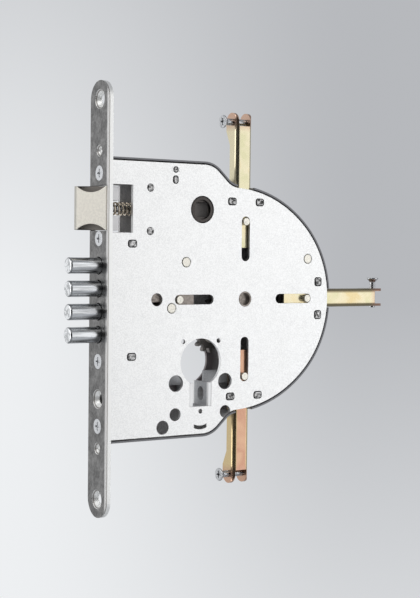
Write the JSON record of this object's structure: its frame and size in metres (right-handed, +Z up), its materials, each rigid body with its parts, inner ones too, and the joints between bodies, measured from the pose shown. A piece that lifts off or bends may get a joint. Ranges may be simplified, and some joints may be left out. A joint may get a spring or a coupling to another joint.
{
  "type": "door lock",
  "caption": "Mortise lock for a door: flat forend with round bolts and a sprung latch, keyed gear drive, handle follower and sliding rods at the top, back and bottom of its rounded case.",
  "frame": {"origin": "middle of the forend's outer face", "axes": "+Z up along the forend, -X out of the forend, +X into the door, +Y away from the front cover plate"},
  "size_m": [0.2147, 0.02, 0.235],
  "materials": {
    "zinc_plated_steel": "bright zinc plate, fine speckle",
    "case_steel": "dull zinc plate",
    "bolt_steel": "polished",
    "forend_steel": "dark satin",
    "screw_steel": "bright zinc",
    "passivated_steel": "yellow passivated zinc, iridescent",
    "latch_zinc": "nickel plated cast zinc",
    "follower_zinc": "cast zinc",
    "spring_steel": "oiled spring wire",
    "gear_steel": "pressed steel"
  },
  "bodies": {
    "case": {"forend": "forend_steel", "forend_screws": "screw_steel", "upper_outer_lug": "gear_steel", "lower_outer_lug": "gear_steel", "upper_inner_lug": "zinc_plated_steel", "lower_inner_lug": "zinc_plated_steel", "case_body": "case_steel", "front_plate": "zinc_plated_steel", "spacer_posts": "zinc_plated_steel", "spacer_bar": "zinc_plated_steel", "latch_guide": "zinc_plated_steel", "cylinder_guide": "zinc_plated_steel", "idler_stud": "screw_steel", "top_rod_guide": "zinc_plated_steel", "bottom_rod_guide": "zinc_plated_steel", "back_rod_guide": "zinc_plated_steel"},
    "carriage": {"top_bolt": "bolt_steel", "upper_middle_bolt": "bolt_steel", "lower_middle_bolt": "bolt_steel", "bottom_bolt": "bolt_steel", "bolt_carriage": "zinc_plated_steel", "carriage_rack": "gear_steel", "carriage_pin": "zinc_plated_steel", "carriage_rivets": "zinc_plated_steel"},
    "top_rod_group": {"top_rod": "passivated_steel", "top_rod_rack": "gear_steel", "top_rod_pin": "bolt_steel", "top_rack_rivet": "zinc_plated_steel", "top_clamp_screw": "screw_steel"},
    "back_rod_group": {"back_rod": "passivated_steel", "back_rod_rack": "gear_steel", "back_rod_pin": "bolt_steel", "back_rack_rivet": "zinc_plated_steel", "back_clamp_screw": "screw_steel"},
    "bottom_rod_group": {"bottom_rod": "passivated_steel", "bottom_rod_rack": "gear_steel", "bottom_rod_pin": "bolt_steel", "bottom_rack_rivet": "zinc_plated_steel", "bottom_clamp_screw": "screw_steel"},
    "drive": {"rack_pinion": "gear_steel", "drive_wheel": "gear_steel", "drive_arbor": "gear_steel"},
    "idler": {"idler_gear": "gear_steel"},
    "latch": {"latch_bolt": "latch_zinc", "latch_rod": "screw_steel", "latch_tail": "zinc_plated_steel", "latch_nut": "screw_steel", "latch_spring": "spring_steel"},
    "follower_hub": {"follower": "follower_zinc"}
  },
  "joints": [
    {"name": "carriage_slide", "type": "slide", "parent": "case", "child": "carriage", "axis": [1, 0, 0], "range_m": [0, 0.0185]},
    {"name": "top_rod_slide", "type": "slide", "parent": "case", "child": "top_rod_group", "axis": [0, 0, -1], "range_m": [0, 0.0185]},
    {"name": "bottom_rod_slide", "type": "slide", "parent": "case", "child": "bottom_rod_group", "axis": [0, 0, 1], "range_m": [0, 0.0185]},
    {"name": "back_rod_slide", "type": "slide", "parent": "case", "child": "back_rod_group", "axis": [-1, 0, 0], "range_m": [0, 0.0185]},
    {"name": "drive_turn", "type": "hinge", "parent": "case", "child": "drive", "pos_m": [0.0905, 0, 0], "axis": [0, 1, 0], "range_deg": [0, 117.78]},
    {"name": "idler_turn", "type": "hinge", "parent": "case", "child": "idler", "pos_m": [0.0731, 0, -0.02065], "axis": [0, 1, 0], "range_deg": [-235.56, 0]},
    {"name": "latch_slide", "type": "slide", "parent": "case", "child": "latch", "axis": [1, 0, 0], "range_m": [0, 0.0105], "stiffness_N_per_m": 700, "springref_m": -0.008, "deforming": ["latch_spring"]},
    {"name": "follower_turn", "type": "hinge", "parent": "case", "child": "follower_hub", "pos_m": [0.061, 0, 0.05], "axis": [0, -1, 0], "range_deg": [0, 37.61]}
  ],
  "couplings": [
    {"joint": "top_rod_slide", "follows": "carriage_slide", "ratio": 1},
    {"joint": "bottom_rod_slide", "follows": "carriage_slide", "ratio": 1},
    {"joint": "back_rod_slide", "follows": "carriage_slide", "ratio": 1},
    {"joint": "drive_turn", "follows": "carriage_slide", "rad_per_m": 111.11},
    {"joint": "idler_turn", "follows": "carriage_slide", "rad_per_m": -222.22},
    {"joint": "follower_turn", "follows": "latch_slide", "rad_per_m": 62.5}
  ]
}
